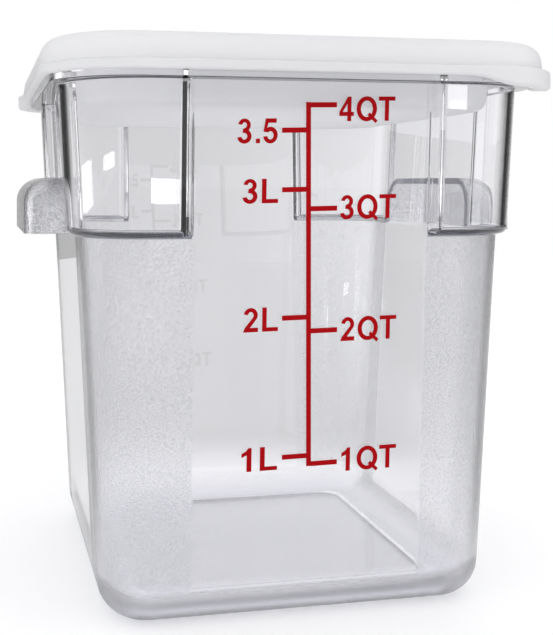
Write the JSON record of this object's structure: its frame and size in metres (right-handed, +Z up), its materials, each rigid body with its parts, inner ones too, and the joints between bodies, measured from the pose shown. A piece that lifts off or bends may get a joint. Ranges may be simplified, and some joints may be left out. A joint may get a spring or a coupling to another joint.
{
  "type": "dough proofing container",
  "caption": "Clear square tapered food storage tub with graduations, stacking ledges and cup handles, closed by a white press-on lid with two lift tabs and a stacking recess.",
  "frame": {"origin": "on the ground under the middle of the tub", "axes": "+Z up along the tub's centre line, handles stand out along +X and -X, -Y faces the viewer and carries the graduations"},
  "size_m": [0.1924, 0.1912, 0.2033],
  "materials": {
    "clear_plastic": "clear moulded polycarbonate, polished panels and fine-textured corners",
    "lid_plastic": "translucent white polyethylene, satin"
  },
  "bodies": {
    "tub": {"container": "clear_plastic"},
    "cover": {"lid": "lid_plastic"}
  },
  "joints": [
    {"name": "lid_lift", "type": "slide", "parent": "tub", "child": "cover", "axis": [0, 0, 1], "range_m": [0, 0.05]}
  ]
}
